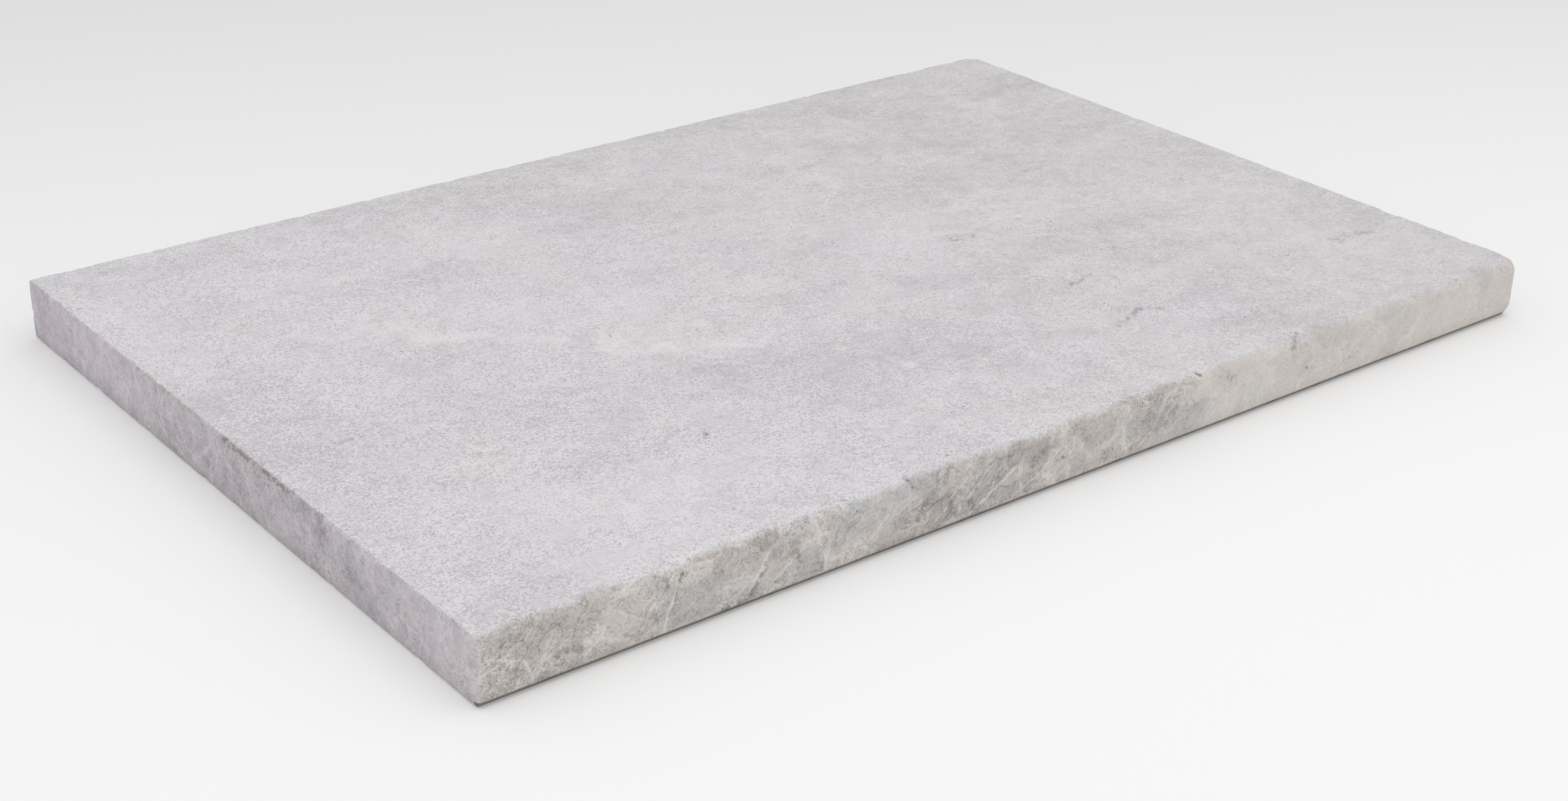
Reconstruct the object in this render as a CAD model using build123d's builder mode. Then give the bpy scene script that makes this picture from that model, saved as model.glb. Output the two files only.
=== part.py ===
"""Limestone pool coping: one sawn stone with a pencil-rounded pool edge.

The stone lies on its sawn bed. Its origin is the middle of the bed, +X runs
along the pool edge, the pool edge faces -Y and +Z points up out of the walking
face. All sizes are in millimetres.
"""

import os

from build123d import *

# Overall size of the stone
LENGTH = 600.0  # along the pool edge, X
WIDTH = 400.0  # from the pool edge to the back joint, Y
THICKNESS = 30.0  # from the sawn bed to the walking face, Z

# Pool edge, the long face at -Y
NOSE_RADIUS = 5.0  # pencil round between the walking face and the pool edge
FOOT_CHAMFER = 2.5  # eased lower corner of the pool edge

# The other edges, where the saw left two faces square to each other
ARRIS = 0.8  # hand-rubbed chamfer that keeps a sawn edge from chipping

with BuildPart() as coping_stone:
    # Section across the pool edge: the sketch's X is the stone's Y, its Y the stone's Z.
    with BuildSketch(Plane.YZ) as section:
        Rectangle(WIDTH, THICKNESS, align=(Align.CENTER, Align.MIN))
        pool_side = section.vertices().group_by(Axis.X)[0].sort_by(Axis.Y)
        joint_side = section.vertices().group_by(Axis.X)[-1]
        foot, nose = pool_side
        fillet(nose, NOSE_RADIUS)
        chamfer(foot, FOOT_CHAMFER)
        chamfer(joint_side, ARRIS)
    extrude(amount=LENGTH / 2, both=True)

    # Both sawn ends carry the same small arris all the way round the section.
    sawn_ends = coping_stone.faces().filter_by(Axis.X)
    chamfer(sawn_ends.edges(), ARRIS)

coping_stone.part.label = "coping_stone"

os.makedirs("parts", exist_ok=True)
export_step(coping_stone.part, "parts/coping_stone.step")
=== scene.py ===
"""Studio picture of a limestone pool coping.

One sawn stone lies on its bed: a blasted walking face, a honed pool edge with a
pencil-round nose, and sawn ends and back. The stone's body is one solid pattern,
so its clouds, veins and fissures run through from face to face, and each way of
working the stone shows that body in its own way.
"""

from __future__ import annotations

import logging
import math
from collections.abc import Mapping, Sequence
from dataclasses import asdict, dataclass, field
from enum import Enum
from typing import Any, Union

import bpy
import numpy as np
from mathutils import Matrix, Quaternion, Vector
from mathutils.geometry import delaunay_2d_cdt


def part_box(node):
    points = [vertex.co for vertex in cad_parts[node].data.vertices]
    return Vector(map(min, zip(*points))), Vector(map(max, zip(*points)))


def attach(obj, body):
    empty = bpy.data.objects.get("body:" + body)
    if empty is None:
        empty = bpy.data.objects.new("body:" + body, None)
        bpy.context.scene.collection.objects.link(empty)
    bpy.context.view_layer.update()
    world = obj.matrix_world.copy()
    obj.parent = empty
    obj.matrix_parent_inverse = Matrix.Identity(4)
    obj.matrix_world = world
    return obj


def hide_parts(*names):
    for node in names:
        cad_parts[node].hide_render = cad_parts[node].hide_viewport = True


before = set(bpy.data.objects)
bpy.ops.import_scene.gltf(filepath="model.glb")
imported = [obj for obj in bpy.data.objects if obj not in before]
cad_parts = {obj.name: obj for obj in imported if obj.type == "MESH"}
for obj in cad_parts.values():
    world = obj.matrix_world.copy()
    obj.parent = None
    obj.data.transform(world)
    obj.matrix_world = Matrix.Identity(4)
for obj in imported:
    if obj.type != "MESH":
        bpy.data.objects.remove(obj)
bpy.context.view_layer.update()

LOG = logging.getLogger("coping")
MM = 0.001  # one millimetre in metres

ALONG = (1.0, 0.0, 0.0)  # direction along the pool edge
ACROSS = (0.0, 1.0, 0.0)  # direction from the pool edge to the back joint
UP = (0.0, 0.0, 1.0)
SEED_STEP = (131.7, -87.3, 59.1)  # millimetres between the noise of one seed and the next
RIDGE_MEAN = 1.8  # average of the ridged noise that is used here
RIDGE_SPAN = 0.9  # brings its spread close to that of other noise
INSIDE_ONLY = 1  # Blender's number for triangles that lie inside an outline

Colour = tuple[float, float, float]
Point = tuple[float, float, float]
Span = tuple[float, float]
Value = Union["Wire", float, Sequence[float]]


def srgb(red: float, green: float, blue: float) -> Colour:
    """Turn a colour as a screen shows it into the linear colour of a shader.

    Args:
        red: Red from 0 to 255.
        green: Green from 0 to 255.
        blue: Blue from 0 to 255.

    Returns:
        The linear red, green and blue from 0 to 1.
    """
    def linear(level: float) -> float:
        """Undo the screen's curve for one channel."""
        share = level / 255
        return share / 12.92 if share <= 0.04045 else ((share + 0.055) / 1.055) ** 2.4

    return linear(red), linear(green), linear(blue)


@dataclass(frozen=True)
class Wire:
    """An output socket of a node, used as a number in Python expressions.

    Attributes:
        pen: Writer of the tree that holds the node.
        socket: The output socket.
    """

    pen: NodePen
    socket: bpy.types.NodeSocket

    def __add__(self, other: Value) -> Wire:
        """Add a number or a wire."""
        return self.pen.math("ADD", self, other)

    def __radd__(self, other: Value) -> Wire:
        """Add this wire to a number."""
        return self.pen.math("ADD", other, self)

    def __sub__(self, other: Value) -> Wire:
        """Take a number or a wire away."""
        return self.pen.math("SUBTRACT", self, other)

    def __rsub__(self, other: Value) -> Wire:
        """Take this wire away from a number."""
        return self.pen.math("SUBTRACT", other, self)

    def __mul__(self, other: Value) -> Wire:
        """Multiply by a number or a wire."""
        return self.pen.math("MULTIPLY", self, other)

    def __rmul__(self, other: Value) -> Wire:
        """Multiply a number by this wire."""
        return self.pen.math("MULTIPLY", other, self)

    def __abs__(self) -> Wire:
        """Drop the sign."""
        return self.pen.math("ABSOLUTE", self)


class NodePen:
    """Writes nodes and their links into one shader tree or geometry tree."""

    def __init__(self, tree: bpy.types.NodeTree) -> None:
        """Start on an empty tree."""
        self.tree = tree

    @classmethod
    def fresh(cls, owner: bpy.types.Material | bpy.types.World) -> NodePen:
        """Empty the tree of a material or a world and start on it.

        Args:
            owner: What the tree belongs to.

        Returns:
            The writer of that tree.
        """
        owner.use_nodes = True
        owner.node_tree.nodes.clear()
        return cls(owner.node_tree)

    def node(
        self,
        kind: str,
        settings: Mapping[str, Any] | None = None,
        sockets: Mapping[str | int, Value] | None = None,
    ) -> bpy.types.Node:
        """Add one node.

        Args:
            kind: Blender's name for the type of node.
            settings: Properties of the node, set before its sockets.
            sockets: Values or wires for its inputs, by name or by number.

        Returns:
            The new node.
        """
        made = self.tree.nodes.new(kind)
        for name, setting in (settings or {}).items():
            setattr(made, name, setting)
        for key, value in (sockets or {}).items():
            if isinstance(value, Wire):
                self.tree.links.new(value.socket, made.inputs[key])
            else:
                made.inputs[key].default_value = value
        return made

    def wire(
        self,
        kind: str,
        settings: Mapping[str, Any] | None = None,
        sockets: Mapping[str | int, Value] | None = None,
        output: str | int = 0,
    ) -> Wire:
        """Add one node and take one of its outputs.

        Args:
            kind: Blender's name for the type of node.
            settings: Properties of the node, set before its sockets.
            sockets: Values or wires for its inputs, by name or by number.
            output: Name or number of the output that is wanted.

        Returns:
            That output.
        """
        return Wire(self, self.node(kind, settings, sockets).outputs[output])

    def math(self, operation: str, *values: Value) -> Wire:
        """Work on single numbers.

        Args:
            operation: Name of the Math node's operation.
            values: Its operands in order.

        Returns:
            The result.
        """
        return self.wire("ShaderNodeMath", {"operation": operation}, dict(enumerate(values)))

    def largest(self, *values: Wire) -> Wire:
        """Take the largest of several numbers.

        Args:
            values: The numbers.

        Returns:
            The largest of them.
        """
        top = values[0]
        for value in values[1:]:
            top = self.math("MAXIMUM", top, value)
        return top

    def vector(self, operation: str, *values: Value, output: str = "Vector") -> Wire:
        """Work on vectors.

        Args:
            operation: Name of the Vector Math node's operation.
            values: Its operands in order.
            output: "Vector", or "Value" for a length or a dot product.

        Returns:
            The result.
        """
        return self.wire(
            "ShaderNodeVectorMath", {"operation": operation}, dict(enumerate(values)), output
        )

    def scaled(self, place: Value, factor: Value) -> Wire:
        """Multiply a vector by one number."""
        return self.wire(
            "ShaderNodeVectorMath", {"operation": "SCALE"}, {"Vector": place, "Scale": factor}
        )

    def along(self, place: Wire, direction: Sequence[float]) -> Wire:
        """Measure a place along a direction."""
        return self.vector("DOT_PRODUCT", place, direction, output="Value")

    def rise(
        self, value: Wire, low: Value, high: Value, start: float = 0.0, stop: float = 1.0
    ) -> Wire:
        """Go smoothly from one number to another between two levels.

        Args:
            value: What is read.
            low: Level at which the result leaves its first number.
            high: Level at which the result reaches its last number.
            start: The first number.
            stop: The last number.

        Returns:
            The result, from the first to the last number.
        """
        return self.wire(
            "ShaderNodeMapRange",
            {"interpolation_type": "SMOOTHSTEP"},
            {"Value": value, "From Min": low, "From Max": high, "To Min": start, "To Max": stop},
        )

    def fall(self, value: Wire, low: Value, high: Value) -> Wire:
        """Go smoothly from 1 to 0 between two levels."""
        return self.rise(value, low, high, 1.0, 0.0)

    def shifted(self, place: Wire, seed: int) -> Wire:
        """Move a place so far that its noise is another one."""
        return self.vector("ADD", place, tuple(seed * step for step in SEED_STEP))

    def noise(
        self,
        place: Wire,
        size: float,
        seed: int,
        detail: float = 2.0,
        roughness: float = 0.5,
        output: str | int = 0,
    ) -> Wire:
        """Read cloudy noise.

        Args:
            place: Where it is read, in millimetres.
            size: Size of its largest lumps in millimetres.
            seed: Number that sets it apart from other noise.
            detail: How many finer layers are added.
            roughness: Strength of each finer layer against the one before.
            output: 0 for a value around 0.5, 1 for three such values as a colour.

        Returns:
            The noise.
        """
        moved = self.shifted(place, seed)
        return self.wire(
            "ShaderNodeTexNoise",
            None,
            {"Vector": moved, "Scale": 1 / size, "Detail": detail, "Roughness": roughness},
            output,
        )

    def swing(
        self, place: Wire, size: float, seed: int, detail: float = 2.0, roughness: float = 0.5
    ) -> Wire:
        """Read cloudy noise around 0 instead of around 0.5."""
        return self.noise(place, size, seed, detail, roughness) - 0.5

    def ridges(self, place: Wire, size: float, seed: int, roughness: float) -> Wire:
        """Read a web of bright ridges with dark hollows between them.

        Args:
            place: Where it is read, in millimetres.
            size: Size of its largest meshes in millimetres.
            seed: Number that sets it apart from other noise.
            roughness: Strength of each finer web against the one before.

        Returns:
            The web, from about -0.8 in hollows to 0.6 on ridges, 0 on average.
        """
        web = self.wire(
            "ShaderNodeTexNoise",
            {"noise_type": "RIDGED_MULTIFRACTAL"},
            {
                "Vector": self.shifted(place, seed),
                "Scale": 1 / size,
                "Detail": 3.0,
                "Roughness": roughness,
                "Lacunarity": 2.1,
                "Offset": 1.0,
                "Gain": 4.0,
            },
        )
        return (web - RIDGE_MEAN) * RIDGE_SPAN

    def cells(self, place: Wire, size: float) -> tuple[Wire, Wire]:
        """Break space into rough cells.

        Args:
            place: Where they are read, in millimetres.
            size: Size of a cell in millimetres.

        Returns:
            Three random numbers for each cell as a colour, and the distance to the nearest
            border between cells as a share of their size.
        """
        sockets = {"Vector": place, "Scale": 1 / size}
        colour = self.wire("ShaderNodeTexVoronoi", {"feature": "F1"}, sockets, "Color")
        border = self.wire(
            "ShaderNodeTexVoronoi", {"feature": "DISTANCE_TO_EDGE"}, sockets, "Distance"
        )
        return colour, border

    def mix(self, share: Value, first: Value, second: Value, blend: str = "MIX") -> Wire:
        """Go from one colour to another.

        Args:
            share: 0 for the first colour, 1 for the second.
            first: The first colour.
            second: The second colour.
            blend: "MIX" to reach the second colour, "MULTIPLY" to tint the first with it.

        Returns:
            The mixed colour.
        """
        def full(colour: Value) -> Value:
            """Give a plain colour its fourth number."""
            return colour if isinstance(colour, Wire) else (*colour, 1.0)

        sockets = {0: share, 6: full(first), 7: full(second)}
        return self.wire("ShaderNodeMix", {"data_type": "RGBA", "blend_type": blend}, sockets, 2)


class Tone(Enum):
    """What a seam in the stone is filled with."""

    PALE = "pale calcite"
    DARK = "dark clay"
    WARM = "iron-tinted cloud"
    RUST = "iron stain"
    OPEN = "open fissure"
    CLOUD = "blue-grey cloud"
    LIGHT = "lighter bed"
    SHADE = "darker bed"


@dataclass(frozen=True)
class Seam:
    """A vein, wisp or fissure between two points of the stone, in millimetres.

    Attributes:
        start: One end.
        end: The other end.
        reach: Distance from its middle at which it has faded out.
        strength: How clearly it shows, from 0 to 1.
    """

    start: Point
    end: Point
    reach: float
    strength: float = 1.0


TOP = 30.0  # height of the walking face above the bed, where the seams below are placed
POOL = -200.0  # face of the pool edge
LEFT = -300.0  # face of the left end

WALKING_FACE_SEAMS: dict[Tone, tuple[Seam, ...]] = {
    Tone.PALE: (
        Seam((-224, 60, TOP), (-218, 56, TOP), 8.0, 0.5),
        Seam((-200, 52, TOP), (-185, 38, TOP), 17.0, 0.65),
        Seam((-176, 30, TOP), (-160, 18, TOP), 10.0, 0.55),
        Seam((-150, 8, TOP), (-135, -5, TOP), 9.0, 0.55),
        Seam((-118, -22, TOP), (-95, -40, TOP), 15.0, 0.6),
        Seam((-86, -48, TOP), (-70, -56, TOP), 12.0, 0.55),
        Seam((-45, -70, TOP), (-24, -118, TOP), 3.4, 0.8),
        Seam((-226, 121, TOP), (-160, 110, TOP), 9.0, 0.3),
        Seam((-103, -13, TOP), (-73, -27, TOP), 9.0, 0.4),
        Seam((-20, 160, TOP), (-3, 133, TOP), 8.0, 0.35),
        Seam((120, 14, TOP), (168, -16, TOP), 9.0, 0.45),
        Seam((30, -22, TOP), (66, -44, TOP), 5.0, 0.4),
        Seam((86, 88, TOP), (96, 70, TOP), 12.0, 0.4),
        Seam((-236, -130, TOP), (-165, -150, TOP), 30.0, 0.3),
        Seam((-200, -157, TOP), (-184, -163, TOP), 7.0, 0.5),
        Seam((-64, -160, TOP), (-62, -160, TOP), 5.0, 0.7),
        Seam((0, -58, TOP), (2, -58, TOP), 4.0, 0.6),
    ),
    Tone.DARK: (
        Seam((89, -15, TOP), (103, -18, TOP), 4.0, 0.6),
        Seam((95, -94, TOP), (114, -91, TOP), 4.0, 0.6),
        Seam((142, -74, TOP), (148, -74, TOP), 4.5, 0.6),
        Seam((84, -143, TOP), (100, -134, TOP), 4.5, 0.6),
        Seam((100, -133, TOP), (112, -142, TOP), 3.5, 0.5),
        Seam((127, -132, TOP), (137, -128, TOP), 3.0, 0.5),
        Seam((-116, -96, TOP), (-113, -102, TOP), 3.0, 0.6),
        Seam((-142, -115, TOP), (-141, -116, TOP), 2.5, 0.7),
        Seam((-158, 92, TOP), (-126, 110, TOP), 2.4, 0.35),
        Seam((66, 86, TOP), (80, 72, TOP), 2.4, 0.35),
        Seam((-268, -37, TOP), (-249, -33, TOP), 4.0, 0.4),
        Seam((244, -131, TOP), (248, -131, TOP), 5.0, 0.3),
        Seam((261, -134, TOP), (266, -135, TOP), 5.0, 0.35),
    ),
    Tone.WARM: (
        Seam((-92, 122, TOP), (-88, 108, TOP), 26.0, 0.8),
        Seam((40, 50, TOP), (64, 60, TOP), 34.0, 0.8),
        Seam((-224, -86, TOP), (-218, -78, TOP), 22.0, 0.8),
        Seam((-46, -10, TOP), (-20, -16, TOP), 20.0, 0.5),
    ),
    Tone.RUST: (
        Seam((244, -130, TOP), (264, -134, TOP), 8.0, 0.5),
        Seam((9, -180, TOP), (11, -180, TOP), 2.4, 0.8),
    ),
    Tone.CLOUD: (
        Seam((-45, 122, TOP), (-10, 108, TOP), 34.0, 1.0),
        Seam((-10, 16, TOP), (50, 18, TOP), 26.0, 0.7),
        Seam((-276, 170, TOP), (-272, 168, TOP), 14.0, 0.8),
        Seam((250, 142, TOP), (300, 140, TOP), 20.0, 1.0),
        Seam((-80, -80, TOP), (-10, -110, TOP), 40.0, 0.6),
    ),
    Tone.LIGHT: (
        Seam((-130, 72, TOP), (60, 60, TOP), 50.0, 0.3),
        Seam((0, 25, TOP), (90, 25, TOP), 50.0, 0.6),
        Seam((150, -10, TOP), (230, 5, TOP), 70.0, 0.6),
        Seam((270, -30, TOP), (290, -30, TOP), 40.0, 0.4),
        Seam((-290, 130, TOP), (-285, 110, TOP), 50.0, 0.4),
    ),
    Tone.SHADE: (
        Seam((-285, 30, TOP), (-285, -80, TOP), 60.0, 0.65),
        Seam((-175, -75, TOP), (-110, -75, TOP), 60.0, 0.8),
        Seam((-60, -95, TOP), (60, -110, TOP), 64.0, 0.6),
        Seam((-150, 178, TOP), (80, 175, TOP), 46.0, 0.45),
        Seam((288, 150, TOP), (288, -80, TOP), 50.0, 0.5),
    ),
}

WORKED_EDGE_SEAMS: dict[Tone, tuple[Seam, ...]] = {
    Tone.PALE: (
        Seam((-207, -197, 30), (-216, POOL, 11), 2.0, 0.8),
        Seam((-216, POOL, 11), (-219, POOL, 0), 1.6, 0.8),
        Seam((-166, -197, 30), (-170, POOL, 19), 1.6, 0.8),
        Seam((-170, POOL, 19), (-183, POOL, 1), 1.6, 0.8),
        Seam((-296, POOL, 20), (-280, POOL, 14), 1.1, 0.6),
        Seam((-280, POOL, 14), (-276, POOL, 3), 1.2, 0.7),
        Seam((-268, POOL, 24), (-272, POOL, 12), 1.1, 0.5),
        Seam((-240, POOL, 20), (-228, POOL, 12), 1.0, 0.5),
        Seam((-148, POOL, 24), (-140, POOL, 10), 1.1, 0.5),
        Seam((-120, POOL, 8), (-108, POOL, 18), 1.0, 0.5),
        Seam((-70, POOL, 18), (-84, POOL, 6), 1.0, 0.6),
        Seam((24, POOL, 6), (36, POOL, 10), 1.0, 0.5),
        Seam((-284, POOL, 4), (-262, POOL, 16), 1.0, 0.5),
        Seam((-262, POOL, 16), (-246, POOL, 12), 1.0, 0.4),
        Seam((-40, POOL, 17), (-64, POOL, 4), 1.0, 0.8),
        Seam((-52, POOL, 23), (-70, POOL, 8), 1.0, 0.6),
        Seam((-18, POOL, 26), (-20, POOL, 6), 2.2, 0.4),
        Seam((LEFT, 113, 24), (LEFT, 106, 17), 2.0, 0.6),
        Seam((LEFT, 84, 28), (LEFT, 78, 16), 2.0, 0.6),
        Seam((LEFT, 10, 20), (LEFT, 31, 3), 1.6, 0.6),
    ),
    Tone.DARK: (
        Seam((-286, POOL, 12), (-284, POOL, 9), 3.0, 0.5),
        Seam((-266, POOL, 11), (-256, POOL, 10), 4.0, 0.6),
        Seam((-236, POOL, 8), (-231, POOL, 4), 2.0, 0.7),
        Seam((-219, POOL, 25), (-216, POOL, 23), 4.0, 0.7),
        Seam((-170, POOL, 16), (-177, POOL, 6), 3.0, 0.7),
        Seam((-178, POOL, 5), (-190, POOL, 3), 4.0, 0.7),
        Seam((-156, POOL, 16), (-153, POOL, 11), 4.0, 0.6),
        Seam((-151, POOL, 8), (-143, POOL, 6), 4.0, 0.6),
        Seam((-93, POOL, 10), (-82, POOL, 5), 3.0, 0.5),
        Seam((-76, POOL, 17), (-74, POOL, 8), 4.0, 0.6),
        Seam((-72, POOL, 8), (-62, POOL, 10), 4.0, 0.6),
        Seam((-44, POOL, 24), (-52, POOL, 14), 4.0, 0.5),
        Seam((-11, POOL, 14), (-10.5, POOL, 13), 1.6, 0.9),
        Seam((91, POOL, 24), (93, POOL, 23), 4.0, 0.5),
        Seam((139, -197, 29), (134, POOL, 26), 3.0, 0.5),
        # Painted shade below a notch in the arris of the left end, in the clay colour.
        Seam((LEFT, -84, 30), (LEFT, -90, 22), 5.0, 0.45),
    ),
    Tone.WARM: (
        Seam((-286, POOL, 22), (-268, POOL, 24), 12.0, 0.4),
        Seam((-250, POOL, 18), (-230, POOL, 14), 16.0, 0.5),
        Seam((-208, -198, 28), (-168, -198, 27), 11.0, 0.9),
        Seam((-138, POOL, 5), (-116, POOL, 6), 8.0, 0.7),
        Seam((-93, POOL, 12), (-82, POOL, 11), 9.0, 1.0),
        Seam((-40, POOL, 25), (-24, POOL, 22), 10.0, 1.0),
        Seam((-4, POOL, 26), (8, POOL, 25), 8.0, 0.8),
        Seam((-10, POOL, 8), (16, POOL, 10), 12.0, 0.6),
        Seam((LEFT, 195, 16), (LEFT, 110, 12), 36.0, 0.9),
    ),
    Tone.RUST: (
        Seam((144.5, POOL, 13.5), (145.5, POOL, 13), 1.2, 0.8),
        Seam((LEFT, -4, 29), (LEFT, -62, 29), 3.0, 0.8),
        Seam((LEFT, 80, 29.5), (LEFT, 20, 29.5), 2.4, 0.4),
    ),
    Tone.OPEN: (
        Seam((-209, POOL, 27), (-215, POOL, 10), 0.9, 0.8),
        Seam((-98, -195, 30), (-95.5, POOL, 24.5), 1.2, 0.9),
        Seam((71, -196, 30), (74, -198.5, 28), 1.6, 0.9),
        Seam((142, -194, 30), (136, -199, 27.5), 1.2, 0.6),
    ),
    Tone.CLOUD: (
        Seam((-164, POOL, 13), (-148, POOL, 9), 12.0, 0.9),
        Seam((-212, POOL, 12), (-198, POOL, 12), 9.0, 0.7),
        Seam((-130, POOL, 25), (-112, POOL, 23), 10.0, 0.8),
        Seam((-46, POOL, 27), (-66, POOL, 10), 10.0, 0.9),
        Seam((-58, POOL, 6), (-36, POOL, 8), 9.0, 0.9),
        Seam((30, POOL, 17), (72, POOL, 13), 20.0, 1.0),
        Seam((106, POOL, 12), (110, POOL, 9), 6.0, 0.7),
        Seam((176, POOL, 16), (181, POOL, 13), 7.0, 0.5),
        Seam((262, POOL, 21), (270, POOL, 18), 8.0, 0.4),
        Seam((141, -195, 30), (133, POOL, 25), 5.0, 1.0),
        Seam((LEFT, -108, 19), (LEFT, -124, 6), 13.0, 0.9),
    ),
    Tone.LIGHT: (
        Seam((-232, POOL, 24), (-242, POOL, 8), 22.0, 0.4),
        Seam((-108, POOL, 22), (-140, POOL, 8), 26.0, 1.0),
        Seam((14, POOL, 24), (-14, POOL, 8), 18.0, 0.75),
        Seam((118, POOL, 23), (106, POOL, 21), 14.0, 0.6),
        Seam((244, POOL, 14), (230, POOL, 10), 24.0, 0.25),
        Seam((LEFT, 140, 15), (LEFT, 88, 15), 34.0, 0.55),
        Seam((LEFT, -152, 15), (LEFT, -168, 15), 28.0, 0.3),
    ),
    Tone.SHADE: (
        Seam((-258, POOL, 20), (-268, POOL, 6), 24.0, 0.4),
        Seam((-170, POOL, 10), (-188, POOL, 6), 18.0, 0.4),
        Seam((-82, POOL, 12), (-94, POOL, 4), 20.0, 0.8),
        Seam((-36, POOL, 20), (-68, POOL, 8), 26.0, 0.5),
        Seam((56, POOL, 24), (34, POOL, 22), 16.0, 0.4),
        Seam((168, POOL, 22), (132, POOL, 20), 20.0, 0.5),
        Seam((LEFT, 36, 14), (LEFT, 6, 14), 30.0, 0.8),
        Seam((LEFT, -26, 14), (LEFT, -92, 14), 34.0, 0.45),
    ),
}


@dataclass(frozen=True)
class Finish:
    """How one way of working the stone shows its body.

    Attributes:
        dark: Colour of the body where it is darkest.
        light: Colour of the body where it is lightest.
        warm: Tint of its warm patches.
        cloud: Tint of its blue-grey clouds.
        pale: Colour of calcite veins.
        clay: Colour of clay seams and flecks.
        rust: Colour of iron stains.
        veil: Tint of the broad areas where it is warmest.
        contrast: How strongly the body's clouds show.
        web: How strongly the web of calcite threads shows.
        broken: How far its tints keep to the broken lumps, from 0 to 1.
        stipple: How strongly the grain of the worked surface shows.
        roughness: Roughness of the surface.
        grain: Height of the surface's grain in millimetres.
    """

    dark: Colour
    light: Colour
    warm: Colour
    cloud: Colour
    pale: Colour
    clay: Colour
    rust: Colour
    veil: Colour
    contrast: float
    web: float
    broken: float
    stipple: float
    roughness: float
    grain: float


BLASTED = Finish(
    dark=srgb(184, 181, 185),
    light=srgb(226, 224, 227),
    warm=(1.03, 1.03, 1.01),
    cloud=(0.945, 0.945, 0.955),
    pale=srgb(225, 223, 223),
    clay=srgb(132, 131, 134),
    rust=srgb(176, 166, 162),
    veil=(1.0, 0.998, 0.972),
    contrast=2.35,
    web=0.12,
    broken=0.0,
    stipple=3.4,
    roughness=0.92,
    grain=0.12,
)
HONED = Finish(
    dark=srgb(132, 127, 124),
    light=srgb(225, 219, 214),
    warm=(0.87, 0.86, 0.87),
    cloud=(0.85, 0.895, 0.925),
    pale=srgb(224, 216, 208),
    clay=srgb(116, 112, 110),
    rust=srgb(140, 104, 78),
    veil=(1.0, 0.99, 0.98),
    contrast=1.2,
    web=0.24,
    broken=1.0,
    stipple=1.2,
    roughness=0.5,
    grain=0.03,
)
SAWN = Finish(
    dark=srgb(144, 138, 143),
    light=srgb(219, 212, 216),
    warm=(0.98, 0.965, 1.0),
    cloud=(0.87, 0.885, 0.915),
    pale=srgb(208, 202, 205),
    clay=srgb(118, 112, 118),
    rust=srgb(130, 114, 108),
    veil=(1.0, 0.985, 0.985),
    contrast=1.4,
    web=0.16,
    broken=0.3,
    stipple=0.9,
    roughness=0.72,
    grain=0.03,
)


@dataclass(frozen=True)
class Pattern:
    """What the stone's body holds at each point, as wires of one tree.

    Attributes:
        mottle: Clouds of every size, around 0.
        patch: Smaller clouds that the saw lays bare, around 0.
        web: Calcite threads with dark hollows between them, around 0.
        hue: Number that sets each broken lump's hue, from 0 to 1.
        level: Number that sets each broken lump's lightness, around 0.
        thread: Calcite threads around the lumps, from 0 to 1.
        crack: Fine cracks between the smaller lumps, from 0 to 1.
        veil: Warmth of broad areas, around 0.
        gate: Slow noise around 0.5 that thins out the small things.
        spots: Quick noise around 0.5 that breaks up the dark seams.
        grain: Grain of the worked surface, around 0.
        worm: Winding hollows that blasting leaves, from 0 to 1.
    """

    mottle: Wire
    patch: Wire
    web: Wire
    hue: Wire
    level: Wire
    thread: Wire
    crack: Wire
    veil: Wire
    gate: Wire
    spots: Wire
    grain: Wire
    worm: Wire


@dataclass(frozen=True)
class Look:
    """What a shader needs to know of the stone at each point.

    Attributes:
        colour: Colour of the stone.
        roughness: Roughness of its surface.
        height: Height of its fine relief in millimetres.
    """

    colour: Wire
    roughness: Wire
    height: Wire


@dataclass(frozen=True)
class GrimeAndShade:
    """What settles on the stone, as shares from 0 to 1.

    Attributes:
        colour: Its colour.
        fissure: Its share in open fissures.
        fleck: Its share in small pits.
        foot: Share of painted shade and dirt on the foot of the pool edge, the dark line where it
            meets the floor.
        low_shade_honed: Share of painted shade low down on honed faces, which darkens them towards
            the bed.
        low_shade_sawn: Share of painted shade low down on sawn faces, which darkens them towards
            the bed.
        foot_shade_height: Heights between which the foot's painted shade fades out, in millimetres.
        foot_shade_depth: Distances from the pool edge between which that shade fades out on the
            bed.
        low_shade_height: Height at which the painted shade low down has faded out.
    """

    # One colour for dirt in fissures and pits and for the painted shade at the foot and low down.
    colour: Colour = srgb(72, 61, 40)
    fissure: float = 0.8
    fleck: float = 0.4
    foot: float = 0.76
    low_shade_honed: float = 0.13
    low_shade_sawn: float = 0.18
    foot_shade_height: Span = (2.5, 3.3)
    foot_shade_depth: Span = (2.5, 4.0)
    low_shade_height: float = 9.0


@dataclass(frozen=True)
class Gates:
    """Levels of the gate, and for the last two of the spots, between which things come in.

    Attributes:
        stipple: The full stipple of a worked surface.
        web: The full web of calcite.
        crack: Fine cracks, which go out instead.
        thread: Calcite threads around the lumps.
        bit_thread: Calcite threads around the smaller lumps.
        vein: The full veins of the walking face.
        pit: Areas with pits.
        pit_spot: Pits in those areas.
        dark_spot: Clay and iron in their seams.
    """

    stipple: Span = (0.3, 0.6)
    web: Span = (0.38, 0.6)
    crack: Span = (0.4, 0.5)
    thread: Span = (0.4, 0.54)
    bit_thread: Span = (0.48, 0.6)
    vein: Span = (0.4, 0.56)
    pit: Span = (0.5, 0.62)
    pit_spot: Span = (0.68, 0.75)
    dark_spot: Span = (0.42, 0.56)


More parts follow.
